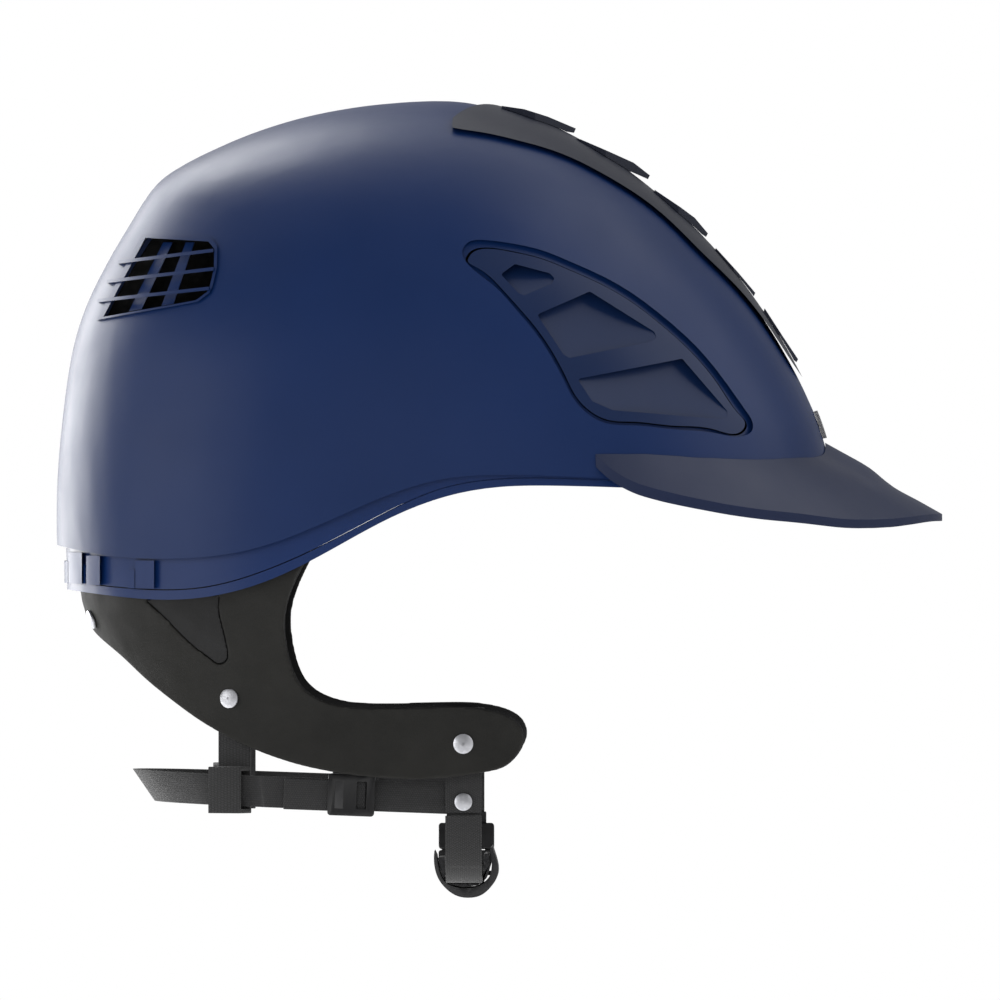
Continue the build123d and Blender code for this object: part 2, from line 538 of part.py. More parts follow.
BUCKLE_TOP = -116.0
FLEX_Z = -115.1
sides = {}
for name, side, end in (("right", -1, -114.5), ("left", 1, BUCKLE_TOP - 3.0)):
    web = web_piece(-78, end, side)
    web = web - hole(Vector(UPPER_RIVET[0], side * web_y(UPPER_RIVET[1]), UPPER_RIVET[1]), (0, 1, 0), BORE_R, 6)
    web = web - hole(Vector(LOWER_RIVET[0], side * web_y(LOWER_RIVET[1]), LOWER_RIVET[1]), (0, 1, 0),
                     PIN_R + 0.1, 6)
    save(f"side_strap_{name}", web)
lower_cap = -(web_y(LOWER_RIVET[1]) + WEB_T / 2 + 0.35)
lower = rivet(Vector(LOWER_RIVET[0], lower_cap, LOWER_RIVET[1]), (0, -1, 0), 3.2, 1.5, 5.3, 2.6)
save("lower_rivets", both_sides(lower))

start_z = -115.7
r_right, r_left = 25.4, 8.0
cos_l, sin_l = math.cos(math.radians(90 - STRAP_TILT)), math.sin(math.radians(90 - STRAP_TILT))
z_right, z_left = CHIN_Z + r_right * (1 - cos_l), CHIN_Z + r_left * (1 - cos_l)
y_right, y_left = -web_y(z_right), web_y(z_left)
flat_right, flat_left = y_right + r_right * sin_l, y_left - r_left * sin_l
end_z = -131.6
yz = Plane(origin=(UPPER_RIVET[0], 0, 0), x_dir=(0, 1, 0), z_dir=(1, 0, 0))
path = [Line((-web_y(start_z), start_z), (y_right, z_right)),
        TangentArc((y_right, z_right), (flat_right, CHIN_Z), tangent=(lean, -1)),
        Line((flat_right, CHIN_Z), (flat_left, CHIN_Z)),
        TangentArc((flat_left, CHIN_Z), (y_left, z_left), tangent=(1, 0)),
        Line((y_left, z_left), (web_y(end_z), end_z))]
if start_z < z_right:
    path = path[1:]
path_wire = yz * Wire([p.edge() for p in path])
section = Plane(origin=path_wire @ 0, z_dir=path_wire % 0, x_dir=(1, 0, 0)) * Rectangle(SIDE_WEB_W, WEB_T)
chin = sweep(section, path=path_wire)
save("chin_strap", chin)

# Chin cup: a moulded gutter that slides along the flat of the strap.
CUP_OUT = [(-2.2, -129.2), (-2.2, -134.5), (-0.9, -139), (2.2, -143.1), (6.3, -145.7), (10.4, -146.3),
           (14.5, -145.5), (18.6, -142.1), (20.9, -138), (19.9, -130.4), (18.9, -127.3)]
CUP_IN = [(18.2, -128.4), (18.7, -134.5), (17.3, -139.5), (14, -142), (9.7, -142.8), (5, -142.2),
          (1.6, -140.4), (-0.2, -137), (-1.3, -131)]
outline = [Spline(*CUP_OUT).edge(), Line(CUP_OUT[-1], CUP_IN[0]).edge(), Spline(*CUP_IN).edge(),
           Line(CUP_IN[-1], CUP_OUT[0]).edge()]
cup_face = Plane(origin=(0, 17, 0), x_dir=(1, 0, 0), z_dir=(0, -1, 0)) * Face(Wire(outline))
cup = Solid.extrude(cup_face, Vector(0, -34, 0))
bridges = [block(-0.9, 18.9, y - 1.5, y + 1.5, CHIN_Z + 1.35, CHIN_Z + 2.6) for y in (-11, 11)]
cup_room = Solid.extrude(Plane(origin=(0, 17, 0), x_dir=(1, 0, 0), z_dir=(0, -1, 0)) * Face(
    Wire([Spline(*CUP_OUT).edge(), Line(CUP_OUT[-1], CUP_OUT[0]).edge()])), Vector(0, -34, 0))
for bridge in bridges:
    cup = cup + (bridge & cup_room)
save("chin_cup", cup)

# ---- side-release buckle on the wearer's left ------------------------------------------------------
buckle_mid = Vector(UPPER_RIVET[0], web_y(-125.5), -125.5)
frame = Plane(origin=buckle_mid, x_dir=(1, 0, 0), z_dir=(0, math.sin(math.radians(STRAP_TILT)),
                                                         math.cos(math.radians(STRAP_TILT))))
body_w, plate, gap = 20.4, 1.3, 4.2
h = gap / 2 + plate
female = Pos(0, 0, 0.4) * Box(body_w, 2 * h, 9.4)
female = fillet(female.edges().filter_by(Axis.Y), 1.2)
female = female - Pos(0, 0, -1.6) * Box(body_w + 2, gap, 9.4)
female = female + Pos(0, 0, 7.1) * Box(14.6, 5.0, 4.4)
female = female - Pos(0, 0, 8.2) * Box(SIDE_WEB_W + 0.3, WEB_T + 0.3, 4.6)
male = Pos(0, 0, -7.2) * Box(body_w, 2 * h, 4.6)
male = fillet(male.edges().filter_by(Axis.Y), 1.0)
male = male + Pos(0, 0, -2.0) * Box(5.0, 2.6, 6.4)
male = male - Pos(0, 0, -8.4) * Box(SIDE_WEB_W + 0.3, WEB_T + 0.3, 4.9)
prongs = {}
for side in (-1, 1):
    room = Pos(side * 7.0, 0, -5.1) * Box(5.4, 3.2, 2.2)
    male = male - room
    arm = Pos(side * 7.9, 0, -3.1) * Box(2.2, 2.6, 5.0)
    head = Pos(side * 8.4, 0, -0.9) * Box(3.4, 2.6, 3.0)
    prongs[side] = arm + head
save("buckle_female", frame * female)
save("buckle_male", frame * male - chin)
save("buckle_prong_rear", frame * prongs[-1])
save("buckle_prong_front", frame * prongs[1])

# ---- nape strap, loops and sliders -------------------------------------------------------------------
NAPE_Y = web_y(LOWER_RIVET[1]) - WEB_T - 0.35
NAPE_TILT = 2.1
nape_mid_z = -109.6


def nape_outline(rear, y, front, z):
    """Straight sides and a half oval round the back of the neck."""
    pts = [(-50 - (rear - 50) * math.sin(a), y * math.cos(a)) for a in np.linspace(0, math.pi, 13)]
    return [Line((front, y), pts[0]).edge(), Spline(*pts, tangents=[(-1, 0), (1, 0)]).edge(),
            Line(pts[-1], (front, -y)).edge()]


def nape_face(rear, z, out, inn, front=15.2):
    a = nape_outline(rear + out, NAPE_Y + out, front, z)
    b = nape_outline(rear - inn, NAPE_Y - inn, front, z)
    ends = [Line((front, NAPE_Y + out), (front, NAPE_Y - inn)).edge(),
            Line((front, -NAPE_Y - out), (front, -NAPE_Y + inn)).edge()]
    return Pos(0, 0, z) * Face(Wire(a + b + ends))


def tilt_nape(shape):
    return shape.rotate(Axis((LOWER_RIVET[0], 0, LOWER_RIVET[1]), (0, 1, 0)), NAPE_TILT)


z_up, z_down = nape_mid_z + NAPE_WEB_W / 2, nape_mid_z - NAPE_WEB_W / 2
nape_strap = Solid.make_loft([nape_face(111.8, z_up, 1, 1).outer_wire(),
                              nape_face(103.4, z_down, 1, 1).outer_wire()], ruled=True)
tails = block(-56.5, -27, NAPE_Y + 1.15, NAPE_Y + 2.9, z_down - 0.4, z_up - 0.6)
tails = joined([tails, mirrored(tails)])
for side in (-1, 1):
    at = Vector(LOWER_RIVET[0], side * NAPE_Y, LOWER_RIVET[1])
    nape_strap = nape_strap - hole(at, (0, 1, 0), BORE_R, 4)
save("nape_strap", tilt_nape(nape_strap))
save("nape_tails", tilt_nape(tails))

slot_mid = NAPE_Y + 0.95
slider = Pos(-32, slot_mid, nape_mid_z) * Box(17, 7.0, 15.2)
slider = fillet(slider.edges().filter_by(Axis.Y), 1.2)
slider = slider - Pos(-32, slot_mid, nape_mid_z) * Box(20, 4.7, 12.5)
slider = slider - Pos(-28.2, slot_mid + 3, nape_mid_z) * Box(3.6, 4, 10.0)
slider = slider - Pos(-36.4, slot_mid + 3, nape_mid_z) * Box(3.0, 4, 10.0)
save("slider_left", tilt_nape(slider))
save("slider_right", tilt_nape(mirrored(slider)))

loop_z = -106.4
loop_mid = Vector(-76.2, -52.6, loop_z)
ring = Box(13, 9.4, 16.9) - Box(20, 6.6, 13.9)
ring = ring + Pos(0, -3.95, 14.5 + 4.6) * Box(13, 1.5, 23.0)
loop_plane = Plane(origin=loop_mid, x_dir=(math.cos(loop_turn), -math.sin(loop_turn), 0), z_dir=(0, 0, 1))
loop = loop_plane * (Rot(0, 0, 180) * ring)
loop = loop - hole(loop_at, loop_n, BORE_R, 16)
save("loop_strap_right", loop)
save("loop_strap_left", mirrored(loop))
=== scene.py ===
import json
import math

import bmesh
import bpy
import numpy as np
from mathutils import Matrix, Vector, noise


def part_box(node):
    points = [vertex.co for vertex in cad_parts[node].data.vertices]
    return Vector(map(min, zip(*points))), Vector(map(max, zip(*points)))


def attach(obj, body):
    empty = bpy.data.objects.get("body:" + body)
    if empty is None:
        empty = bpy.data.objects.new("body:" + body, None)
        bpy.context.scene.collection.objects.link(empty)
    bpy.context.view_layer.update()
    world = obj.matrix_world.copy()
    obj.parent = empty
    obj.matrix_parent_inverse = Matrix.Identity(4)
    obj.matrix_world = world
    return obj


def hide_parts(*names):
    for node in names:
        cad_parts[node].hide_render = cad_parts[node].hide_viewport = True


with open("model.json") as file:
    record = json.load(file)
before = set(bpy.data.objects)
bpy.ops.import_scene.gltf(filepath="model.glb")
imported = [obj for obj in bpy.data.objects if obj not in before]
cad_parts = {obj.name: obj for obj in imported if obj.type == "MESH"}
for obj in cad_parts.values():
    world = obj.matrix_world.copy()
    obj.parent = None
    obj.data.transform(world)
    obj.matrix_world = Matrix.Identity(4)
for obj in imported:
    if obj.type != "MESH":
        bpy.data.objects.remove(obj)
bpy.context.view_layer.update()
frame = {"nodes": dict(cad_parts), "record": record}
nodes = frame["nodes"]
body_of = {n: b for b, ns in frame["record"]["behaviour"]["bodies"].items() for n in ns}
slot_of = {s["node"]: s["material_slot"] for s in frame["record"]["subparts"]}
scene = bpy.context.scene

# Lengths are in metres.
WELD = 4e-6                        # vertices nearer than this are one vertex
FLAT_ANGLE = math.radians(0.6)     # faces nearer to flat than this are joined up
SHARP_ANGLE = math.radians(28)     # shading breaks at steeper edges
LEATHER_VOXEL, GUSSET_VOXEL = 0.0007, 0.0005
MOULDED_EDGE, WEBBING_EDGE = 0.00035, 0.00030
WEBBING_YARNS, WEBBING_ROWS = 1150.0, 1300.0  # half waves per metre along and across a strap
MESH_WAVES = 6200.0                # radians per metre in the badge's knitted mesh
PUFF_CAP = 0.0012                  # how far a pad may swell past its solid
CLOTH_FRAMES = 20
STRAP_HINGE_X, NAPE_SLOPE = 0.0088, 0.0367  # where the nape strap starts, and how it falls
CHIN_BEND_Z, CHIN_BEND_RUN = -0.134, 0.066  # where the chin strap turns level, and its run up to there
FLOOR_Z, FLOOR_HALF = -0.36, 4
PHOTO_WIDTH = 0.365                # what the photograph's frame covers at the helmet
WORLD_GLOW = 0.32                  # sky strength for everything but the camera


# ---- materials -------------------------------------------------------------------------------------
class Mat:
    """A small helper round one Principled material."""

    def __init__(self, name, color, rough, metal=0.0, specular=0.5):
        self.m = bpy.data.materials.new(name)
        self.m.use_nodes = True
        self.nt = self.m.node_tree
        self.b = self.nt.nodes["Principled BSDF"]
        self.set("Base Color", (*color, 1))
        self.set("Roughness", rough)
        self.set("Metallic", metal)
        self.set("Specular IOR Level", specular)
        self.at = self.node("ShaderNodeTexCoord").outputs["Object"]
        self.height = None

    def node(self, kind, **inputs):
        n = self.nt.nodes.new(kind)
        for k, v in inputs.items():
            self.feed(n.inputs[k], v)
        return n

    def feed(self, socket, v):
        if isinstance(v, bpy.types.NodeSocket):
            self.nt.links.new(v, socket)
        else:
            socket.default_value = v

    def set(self, name, v):
        self.feed(self.b.inputs[name], v)

    def noise(self, scale, detail=3.0, rough=0.5, stretch=None):
        at = self.at
        if stretch:
            at = self.node("ShaderNodeMapping", Vector=at, Scale=stretch).outputs[0]
        n = self.node("ShaderNodeTexNoise", Vector=at, Scale=scale, Detail=detail, Roughness=rough)
        return n.outputs["Fac"]

    def voronoi(self, scale, feature="F1"):
        n = self.node("ShaderNodeTexVoronoi", Vector=self.at, Scale=scale)
        n.feature = feature
        return n.outputs["Distance"]

    def math(self, op, a, b=0.0):
        n = self.nt.nodes.new("ShaderNodeMath")
        n.operation = op
        self.feed(n.inputs[0], a)
        self.feed(n.inputs[1], b)
        return n.outputs[0]

    def span(self, fac, low, high, from_low=0.3, from_high=0.7):
        ends = {"From Min": from_low, "From Max": from_high, "To Min": low, "To Max": high}
        return self.node("ShaderNodeMapRange", Value=fac, **ends).outputs[0]

    def mix(self, fac, a, b):
        n = self.nt.nodes.new("ShaderNodeMix")
        n.data_type = "RGBA"
        self.feed(n.inputs[0], fac)
        self.feed(n.inputs[6], (*a, 1) if isinstance(a, tuple) else a)
        self.feed(n.inputs[7], (*b, 1) if isinstance(b, tuple) else b)
        return n.outputs[2]

    def bump(self, height, strength, distance):
        n = self.node("ShaderNodeBump", Height=height, Strength=strength, Distance=distance)
        if self.height:
            self.nt.links.new(self.height, n.inputs["Normal"])
        self.height = n.outputs[0]
        self.set("Normal", self.height)

    def wear(self, color, lighter):
        """Edges rubbed a little lighter."""
        point = self.node("ShaderNodeNewGeometry").outputs["Pointiness"]
        patchy = self.span(self.noise(160, 4), 0.2, 1)
        fac = self.math("MULTIPLY", self.span(point, 0, 1, 0.52, 0.60), patchy)
        self.set("Base Color", self.mix(fac, color, lighter))


def paint(name, deep, lit, rough):
    """Satin paint or moulded colour: soft tone changes, a fine grain, a thin clear skin."""
    m = Mat(name, deep, rough, specular=0.24)
    m.set("Base Color", m.mix(m.span(m.noise(14, 3), 0, 1), deep, lit))
    m.set("Roughness", m.span(m.noise(42, 4), rough - 0.03, rough + 0.04))
    m.set("Coat Weight", 0.06)
    m.set("Coat Roughness", 0.25)
    m.bump(m.noise(230, 2), 0.05, 0.0004)
    m.bump(m.noise(2600, 3), 0.14, 0.00010)
    return m.m


def plastic(name, color, rough, grain=0.18):
    m = Mat(name, color, rough, specular=0.45)
    lit, rubbed = tuple(c * 1.5 + 0.002 for c in color), tuple(c * 3 + 0.02 for c in color)
    m.wear(m.mix(m.span(m.noise(60, 4), 0, 1), color, lit), rubbed)
    m.set("Roughness", m.span(m.noise(120, 4), rough - 0.06, rough + 0.08))
    m.bump(m.voronoi(1500), grain, 0.00010)
    return m.m


def leather(name, color, warm, rough):
    m = Mat(name, color, rough, specular=0.10)
    rubbed = tuple(c * 1.8 + 0.004 for c in warm)
    m.wear(m.mix(m.span(m.noise(38, 5, 0.6), 0, 1, 0.35, 0.65), color, warm), rubbed)
    m.set("Roughness", m.span(m.noise(90, 4), rough - 0.06, rough + 0.08))
    grain = m.math("POWER", m.voronoi(1100, "DISTANCE_TO_EDGE"), 0.5)
    m.bump(m.noise(70, 4), 0.20, 0.0007)
    m.bump(grain, 0.35, 0.00016)
    m.bump(m.noise(3000, 2), 0.2, 0.00006)
    return m.m


def webbing(name, color, lit):
    """Twill webbing: ribs across, woven on the strap's own run and width coordinates. Its colour carries
    painted shade in the gaps between yarns and ribs, and painted light on their crests.
    """
    m = Mat(name, color, 0.80, specular=0.18)
    split = m.node("ShaderNodeSeparateXYZ", Vector=m.node("ShaderNodeUVMap").outputs[0])
    u, v = split.outputs[0], split.outputs[1]
    row = m.math("MULTIPLY", v, WEBBING_ROWS)
    step = m.math("MULTIPLY", m.math("FLOOR", row), 0.5)
    along = m.math("ADD", m.math("MULTIPLY", u, WEBBING_YARNS), step)
    yarn = m.math("ABSOLUTE", m.math("SINE", m.math("MULTIPLY", along, math.pi)))
    rib = m.math("ABSOLUTE", m.math("SINE", m.math("MULTIPLY", row, math.pi)))
    weave_relief_and_painted_gap_shade = m.math("MULTIPLY", m.math("POWER", yarn, 0.6), m.math("POWER", rib, 0.5))
    fuzz = m.noise(1800, 3)
    # Painted shade and light: darker in the weave's gaps and lighter on its crests, following the relief.
    # The fuzz varies the tone at random.
    m.set("Base Color", m.mix(m.math("MULTIPLY", weave_relief_and_painted_gap_shade, m.span(fuzz, 0.5, 1.0)), color, lit))
    m.set("Sheen Weight", 0.15)
    m.set("Sheen Roughness", 0.5)
    m.bump(weave_relief_and_painted_gap_shade, 0.45, 0.00022)
    m.bump(fuzz, 0.20, 0.00008)
    return m.m


def fabric(name, color, lit):
    m = Mat(name, color, 0.85, specular=0.25)
    cell_relief_and_painted_pit_shade = m.voronoi(650)
    # Painted shade: darker in the hollows of the cell relief, lighter on the ridges between them.
    m.set("Base Color", m.mix(m.span(cell_relief_and_painted_pit_shade, 0, 1, 0.1, 0.6), color, lit))
    m.set("Sheen Weight", 0.35)
    m.bump(cell_relief_and_painted_pit_shade, 0.6, 0.0004)
    m.bump(m.noise(120, 4), 0.3, 0.0008)
    return m.m


def foam(name, color, lit):
    m = Mat(name, color, 0.7, specular=0.35)
    bead = m.voronoi(330)
    m.set("Base Color", m.mix(m.span(bead, 0, 1, 0.0, 0.6), lit, color))
    m.bump(bead, 0.6, 0.0006)
    return m.m


def metal(name, color, rough):
    m = Mat(name, color, rough, metal=1.0)
    darker, lighter = tuple(c * 0.72 for c in color), tuple(min(c * 1.3, 1) for c in color)
    m.wear(m.mix(m.span(m.noise(300, 4), 0, 1), color, darker), lighter)
    m.set("Roughness", m.span(m.noise(700, 4, stretch=(1, 1, 6)), rough - 0.08, rough + 0.10))
    m.bump(m.noise(1500, 3, stretch=(1, 1, 5)), 0.15, 0.00006)
    return m.m


def mesh_metal(name):
    m = Mat(name, (0.5, 0.5, 0.51), 0.35, metal=1.0)
    split = m.node("ShaderNodeSeparateXYZ", Vector=m.at)
    y, z = split.outputs[1], split.outputs[2]
    a = m.math("SINE", m.math("MULTIPLY", m.math("ADD", y, z), MESH_WAVES))
    b = m.math("SINE", m.math("MULTIPLY", m.math("SUBTRACT", y, z), MESH_WAVES))
    knit_relief_and_painted_gap_shade = m.math("ABSOLUTE", m.math("MULTIPLY", a, b))
    # Painted shade: dark in the grooves between the knitted wires, bright metal on the wires, following
    # the relief.
    m.set("Base Color", m.mix(knit_relief_and_painted_gap_shade, (0.12, 0.12, 0.125), (0.66, 0.66, 0.68)))
    m.bump(knit_relief_and_painted_gap_shade, 0.8, 0.0003)
    return m.m


LOOKS = {
    "shell_paint": paint("shell_paint", (0.0018, 0.0140, 0.066), (0.0024, 0.0160, 0.075), 0.42),
    "strip_paint": paint("strip_paint", (0.0090, 0.0115, 0.022), (0.0110, 0.0140, 0.027), 0.42),
    "trim_plastic": paint("trim_plastic", (0.0024, 0.0160, 0.076), (0.0030, 0.0180, 0.085), 0.38),
    "insert_plastic": paint("insert_plastic", (0.0030, 0.0120, 0.047), (0.0038, 0.0138, 0.054), 0.40),
    "peak_plastic": paint("peak_plastic", (0.0070, 0.0130, 0.040), (0.0085, 0.0152, 0.047), 0.42),
    "grille_plastic": paint("grille_plastic", (0.0024, 0.0140, 0.064), (0.0030, 0.0160, 0.073), 0.40),
    "foam": foam("foam", (0.006, 0.006, 0.006), (0.016, 0.016, 0.017)),
    # Padding: the first colour is painted shade in the cloth's hollows, the second is the cloth on its
    # ridges.
    "padding": fabric("padding", (0.010, 0.010, 0.011), (0.030, 0.030, 0.032)),
    "leather": leather("leather", (0.0150, 0.0149, 0.0140), (0.0190, 0.0187, 0.0174), 0.66),
    "lining": leather("lining", (0.0150, 0.0150, 0.0152), (0.0200, 0.0200, 0.0204), 0.60),
    # Webbing: the second colour is painted light on the yarn crests. The gaps keep the first colour as
    # painted shade.
    "webbing": webbing("webbing", (0.016, 0.016, 0.0163), (0.042, 0.042, 0.043)),
    "rivet_steel": metal("rivet_steel", (0.64, 0.645, 0.68), 0.44),
    "badge_mesh": mesh_metal("badge_mesh"),
    "buckle_plastic": plastic("buckle_plastic", (0.004, 0.004, 0.0045), 0.34, 0.10),
    "cup_rubber": plastic("cup_rubber", (0.012, 0.012, 0.013), 0.40, 0.12),
}


# ---- building helpers ------------------------------------------------------------------------------
def apply_all(ob):
    graph = bpy.context.evaluated_depsgraph_get()
    mesh = bpy.data.meshes.new_from_object(ob.evaluated_get(graph))
    ob.modifiers.clear()
    old, ob.data = ob.data, mesh
    bpy.data.meshes.remove(old)


def smooth(ob):
    for p in ob.data.polygons:
        p.use_smooth = True


def new_object(name, mesh):
    ob = bpy.data.objects.new(name, mesh)
    scene.collection.objects.link(ob)
    return ob


def moulded(name, bm):
    """A smooth-shaded object made from a finished bmesh."""
    mesh = bpy.data.meshes.new(name)
    bm.to_mesh(mesh)
    bm.free()
    ob = new_object(name, mesh)
    smooth(ob)
    return ob


def dress(ob, look, body, *replaced):
    """Gives a piece its material, and the body it moves with."""
    ob.data.materials.clear()
    ob.data.materials.append(LOOKS[look])
    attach(ob, body)
    if replaced:
        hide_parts(*replaced)


def copy_of(node, name, tidy=True):
    """A welded copy of a CAD node; tidy joins up its flat faces."""
    ob = new_object(name, nodes[node].data.copy())
    bm = bmesh.new()
    bm.from_mesh(ob.data)
    bmesh.ops.remove_doubles(bm, verts=bm.verts, dist=WELD)
    if tidy:
        bmesh.ops.dissolve_limit(bm, angle_limit=FLAT_ANGLE, verts=bm.verts, edges=bm.edges)
    bmesh.ops.recalc_face_normals(bm, faces=bm.faces)
    bm.to_mesh(ob.data)
    bm.free()
    return ob


def bevelled(node, name, width, segments=2):
    """A copy with its sharp edges eased."""
    ob = copy_of(node, name)
    mod = ob.modifiers.new("edge", "BEVEL")
    mod.width, mod.segments, mod.limit_method = width, segments, "ANGLE"
    mod.angle_limit, mod.harden_normals, mod.use_clamp_overlap = math.radians(32), False, True
    apply_all(ob)
    smooth(ob)
    bpy.context.view_layer.objects.active = ob
    ob.select_set(True)
    bpy.ops.object.shade_smooth_by_angle(angle=SHARP_ANGLE)
    ob.select_set(False)
    return ob


def remeshed(node, name, voxel, rounds):
    """A soft copy: one skin, corners rounded off."""
    ob = copy_of(node, name, tidy=False)
    mod = ob.modifiers.new("skin", "REMESH")
    mod.mode, mod.voxel_size, mod.adaptivity = "VOXEL", voxel, 0.0
    mod = ob.modifiers.new("round", "SMOOTH")
    mod.factor, mod.iterations = 0.5, rounds
    apply_all(ob)
    smooth(ob)
    return ob


def ripple(ob, size, amount, seed):
    """Small soft unevenness along the normals."""
    mesh = ob.data
    co, nor = np.empty(len(mesh.vertices) * 3), np.empty(len(mesh.vertices) * 3)
    mesh.vertices.foreach_get("co", co)
    mesh.vertex_normals.foreach_get("vector", nor)
    start = Vector((seed, seed, seed))
    shift = np.array([noise.noise(Vector(p) / size + start) for p in co.reshape(-1, 3)])
    co = co.reshape(-1, 3) + nor.reshape(-1, 3) * (shift * amount)[:, None]
    mesh.vertices.foreach_set("co", co.ravel())
    mesh.update()


def lay_uv(ob, fn):
    """Texture coordinates in metres, along and across a strap."""
    uv = ob.data.uv_layers.new(name="UVMap") if not ob.data.uv_layers else ob.data.uv_layers[0]
    co = [fn(v.co) for v in ob.data.vertices]
    for loop in ob.data.loops:
        uv.data[loop.index].uv = co[loop.vertex_index]


# ---- hard parts: the CAD nodes stay, with their paint and plastic ----------------------------------
for name, ob in nodes.items():
    ob.data.materials.clear()
    ob.data.materials.append(LOOKS[slot_of[name]])

# ---- leather: panel, lining, gussets ---------------------------------------------------------------
panel = remeshed("harness_panel", "leather_panel", LEATHER_VOXEL, 3)
ripple(panel, 0.021, 0.00016, 1.3)
dress(panel, "leather", "helmet", "harness_panel")
lining = remeshed("harness_lining", "leather_lining", LEATHER_VOXEL, 3)
ripple(lining, 0.016, 0.00010, 4.1)
dress(lining, "lining", "helmet", "harness_lining")
for side in ("right", "left"):
    gusset = remeshed(f"gusset_{side}", f"leather_gusset_{side}", GUSSET_VOXEL, 2)
    dress(gusset, "lining", "helmet", f"gusset_{side}")

# ---- rivets, straps, buckle, sliders, cup ----------------------------------------------------------
for node in ("upper_rivets", "loop_rivets", "nape_rivets", "lower_rivets"):
    caps = bevelled(node, node.replace("rivets", "rivet_caps"), MOULDED_EDGE, 3)
    dress(caps, slot_of[node], body_of[node], node)
for node in ("chin_cup", "buckle_female", "buckle_male", "buckle_prong_rear", "buckle_prong_front",
             "slider_left", "slider_right"):
    dress(bevelled(node, node + "_moulding", MOULDED_EDGE), slot_of[node], body_of[node], node)


def rounded_bar(name, low, high, radius):
    """A bar with fully rounded edges between two corners."""
    bm = bmesh.new()
    bmesh.ops.create_cube(bm, size=1)
    for v in bm.verts:
        v.co = Vector([lo + (c + 0.5) * (hi - lo) for c, lo, hi in zip(v.co, low, high)])
    bmesh.ops.bevel(bm, geom=bm.edges[:], offset=radius, segments=2, affect="EDGES", profile=0.5)
    return moulded(name, bm)


for side, sign in (("right", -1), ("left", 1)):
    lo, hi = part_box(f"slider_{side}")
    face = lo[1] if sign < 0 else hi[1]
    ys = sorted((face - sign * 0.00005, face - sign * 0.0010))
    plate = rounded_bar(f"slider_plate_{side}", (lo[0] + 0.0018, ys[0], lo[2] + 0.0016),
                        (lo[0] + 0.0080, ys[1], hi[2] - 0.0016), 0.0003)
    dress(plate, "buckle_plastic", f"slider_{side}")


def run_through(name, outline, y0, y1, radius):
    """A moulded section carried from y0 to y1, with its edges eased. The outline is in millimetres."""
    bm = bmesh.new()
    face = bm.faces.new([bm.verts.new((x / 1000, y0, z / 1000)) for x, z in outline])
    ends = bmesh.ops.extrude_face_region(bm, geom=[face])
    moved = [v for v in ends["geom"] if isinstance(v, bmesh.types.BMVert)]
    bmesh.ops.translate(bm, vec=(0, y1 - y0, 0), verts=moved)
    bmesh.ops.recalc_face_normals(bm, faces=bm.faces)
    sharp = [e for e in bm.edges if e.calc_face_angle(0) > math.radians(35)]
    bmesh.ops.bevel(bm, geom=sharp, offset=radius, segments=3, affect="EDGES", profile=0.5)
    return moulded(name, bm)


CUP_PAD = [(17.9, -130.2), (18.3, -134.5), (16.9, -139.2), (13.8, -141.6), (9.7, -142.4), (5.1, -141.8),
           (2.4, -140.95), (0.9, -139.0), (-0.1, -136.0), (-0.9, -131.6), (1.5, -131.4), (1.8, -138.6),
           (2.6, -140.7), (15.2, -140.75), (15.7, -138.6), (15.9, -130.2)]
cup_pad = run_through("cup_padding", CUP_PAD, -0.0164, 0.0164, 0.0005)
dress(cup_pad, "padding", "chin_cup")


def strap_run(node):
    """How a point of a strap maps to its run and its width."""
    if node in ("nape_strap", "nape_tails"):
        return lambda c: (math.copysign(1, c.y) * (c.x + 0.02) + c.y * 0.9,
                          c.z + (c.x - STRAP_HINGE_X) * NAPE_SLOPE)
    if node == "chin_strap":
        return lambda c: ((c.y if c.z < CHIN_BEND_Z
                           else math.copysign(CHIN_BEND_RUN - (c.z - CHIN_BEND_Z), c.y)), c.x)
    if node.startswith("loop"):
        return lambda c: (c.z, c.x * 0.89 + c.y * 0.454)
    return lambda c: (c.z, c.x)


for node in ("side_strap_right", "side_strap_left", "chin_strap", "nape_strap", "nape_tails",
             "loop_strap_right", "loop_strap_left"):
    web = bevelled(node, node + "_webbing", WEBBING_EDGE)
    lay_uv(web, strap_run(node))
    dress(web, "webbing", body_of[node], node)


# ---- padding: the crown pads and the headband ------------------------------------------------------
def puffed_up(ob, pressure=4.0):
    """Where the cloth solver moves each vertex."""
    mod = ob.modifiers.new("cloth", "CLOTH")
    s = mod.settings
    s.quality, s.mass, s.tension_stiffness, s.compression_stiffness = 5, 0.25, 18, 18
    s.shear_stiffness, s.bending_stiffness = 10, 0.6
    s.use_pressure, s.uniform_pressure_force = True, pressure
    s.effector_weights.gravity = 0
    mod.point_cache.frame_start, mod.point_cache.frame_end = 1, CLOTH_FRAMES
    for f in range(1, CLOTH_FRAMES + 1):
        scene.frame_set(f)
    graph = bpy.context.evaluated_depsgraph_get()
    done = ob.evaluated_get(graph).to_mesh()
    places = [v.co.copy() for v in done.vertices]
    ob.evaluated_get(graph).to_mesh_clear()
    ob.modifiers.clear()
    return places


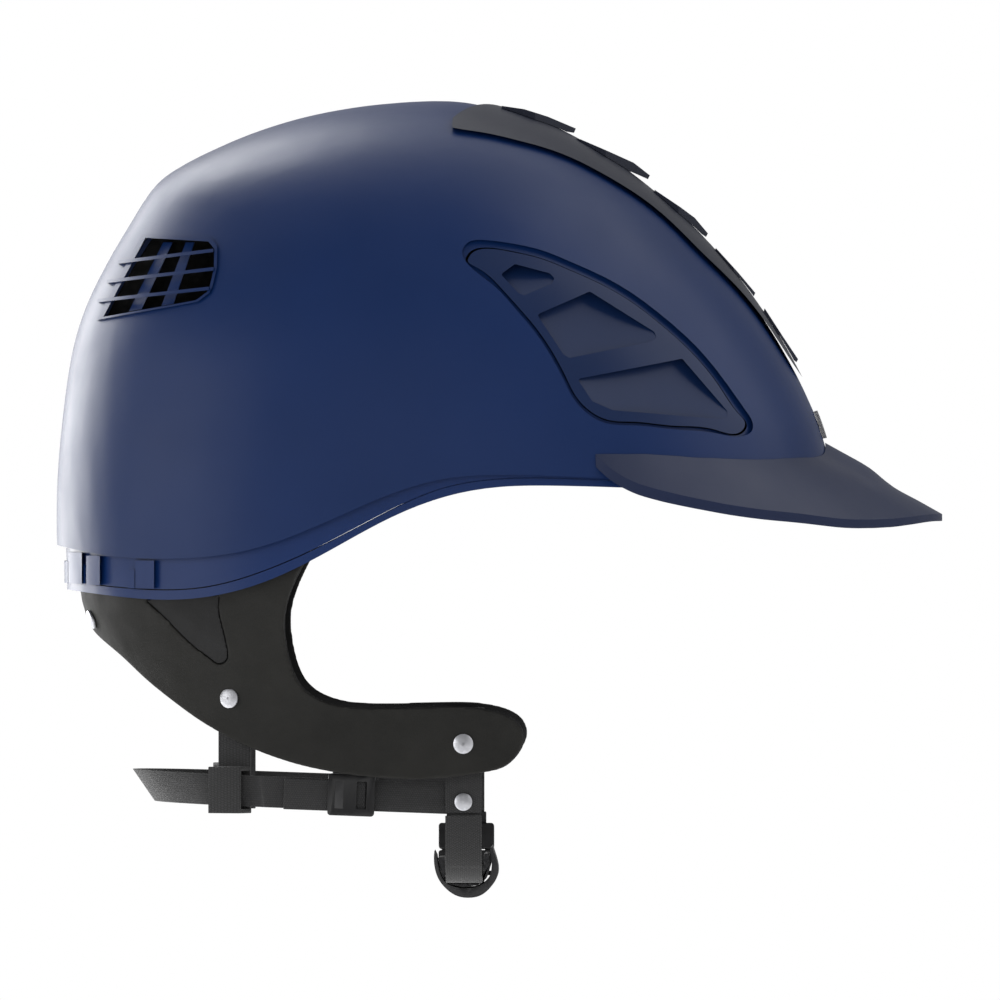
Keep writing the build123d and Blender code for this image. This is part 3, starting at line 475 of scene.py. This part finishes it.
def swollen(node, name, voxel, start_in, rounds):
    """Padding puffed up by the cloth solver, kept near the space its CAD solid holds."""
    ob = copy_of(node, name, tidy=False)
    mod = ob.modifiers.new("in", "REMESH")
    mod.mode, mod.voxel_size = "VOXEL", voxel
    apply_all(ob)
    mod = ob.modifiers.new("slim", "DISPLACE")
    mod.strength, mod.mid_level = -start_in, 0.0
    apply_all(ob)
    rest = [v.co.copy() for v in ob.data.vertices]
    for v, a, b in zip(ob.data.vertices, rest, puffed_up(ob)):
        d = b - a
        v.co = a + d * min(1.0, PUFF_CAP / max(d.length, 1e-9))
    scene.frame_set(1)
    mod = ob.modifiers.new("round", "SMOOTH")
    mod.factor, mod.iterations = 0.5, rounds
    mod = ob.modifiers.new("fine", "SUBSURF")
    mod.levels = mod.render_levels = 1
    apply_all(ob)
    smooth(ob)
    return ob


pads = swollen("crown_pads", "crown_padding", 0.0028, 0.0007, 3)
dress(pads, "padding", "helmet", "crown_pads")
band = swollen("headband_pad", "headband_padding", 0.0032, 0.0008, 2)
dress(band, "padding", "helmet", "headband_pad")

# ---- floor, lights, camera -------------------------------------------------------------------------
floor_mesh = bpy.data.meshes.new("floor")
corners = [(-1, -1), (1, -1), (1, 1), (-1, 1)]
floor_mesh.from_pydata([(x * FLOOR_HALF, y * FLOOR_HALF, FLOOR_Z) for x, y in corners], [], [(0, 1, 2, 3)])
floor = new_object("floor", floor_mesh)
pale = Mat("floor_pale", (0.92, 0.92, 0.92), 0.9)
cloudy = pale.span(pale.noise(3, 3), 0, 1)
pale.set("Base Color", pale.mix(cloudy, (0.90, 0.90, 0.90), (0.93, 0.93, 0.93)))
floor_mesh.materials.append(pale.m)

world = scene.world or bpy.data.worlds.new("studio")
scene.world = world
world.use_nodes = True
tree = world.node_tree
back = tree.nodes["Background"]
back.inputs["Color"].default_value = (1, 1, 1, 1)
back.inputs["Strength"].default_value = WORLD_GLOW
plain_white = tree.nodes.new("ShaderNodeBackground")
plain_white.inputs["Color"].default_value = (1, 1, 1, 1)
seen, blend = tree.nodes.new("ShaderNodeLightPath"), tree.nodes.new("ShaderNodeMixShader")
tree.links.new(seen.outputs["Is Camera Ray"], blend.inputs[0])
tree.links.new(back.outputs[0], blend.inputs[1])
tree.links.new(plain_white.outputs[0], blend.inputs[2])
tree.links.new(blend.outputs[0], tree.nodes["World Output"].inputs["Surface"])
scene.view_settings.view_transform = "Standard"


def soft_light(name, at, aim, size, power, size_y=None):
    data = bpy.data.lights.new(name, "AREA")
    data.shape, data.size, data.size_y = "RECTANGLE", size, size_y or size
    data.energy = power
    ob = new_object(name, data)
    ob.location = at
    ob.rotation_euler = (Vector(aim) - Vector(at)).to_track_quat("-Z", "Y").to_euler()
    ob.visible_camera = False
    return ob


soft_light("rear_light", (-1.25, 1.30, 0.12), (-0.05, 0, -0.02), 1.3, 36, 1.5)
soft_light("upper_rear_light", (-0.85, 1.25, 1.30), (-0.05, 0, 0.05), 1.0, 20)
soft_light("overhead_light", (0.1, 0.45, 1.8), (0, 0, 0), 2.4, 15, 2.0)
soft_light("rear_side_light", (-1.6, -0.75, 0.05), (0, 0, -0.05), 1.5, 12)
soft_light("front_light", (1.5, -0.2, 1.1), (0.05, 0, 0.05), 1.8, 16)
camera_fill = soft_light("camera_fill", (-0.2, -2.2, 0.1), (0, 0, -0.05), 2.2, 28)
camera_fill.visible_glossy = False

centre = Vector((0.0216, 0, -0.0014))
az, el, far = math.radians(0.45), math.radians(0.4), 12.0
eye = centre + Vector((math.sin(az) * math.cos(el), -math.cos(az) * math.cos(el), math.sin(el))) * far
cam_data = bpy.data.cameras.new("camera")
cam_data.sensor_width, cam_data.lens = 36, 36 * far / PHOTO_WIDTH
cam_data.clip_start, cam_data.clip_end = 1.0, 40.0
cam = new_object("camera", cam_data)
cam.location = eye
cam.rotation_euler = (centre - eye).to_track_quat("-Z", "Y").to_euler()
scene.camera = cam
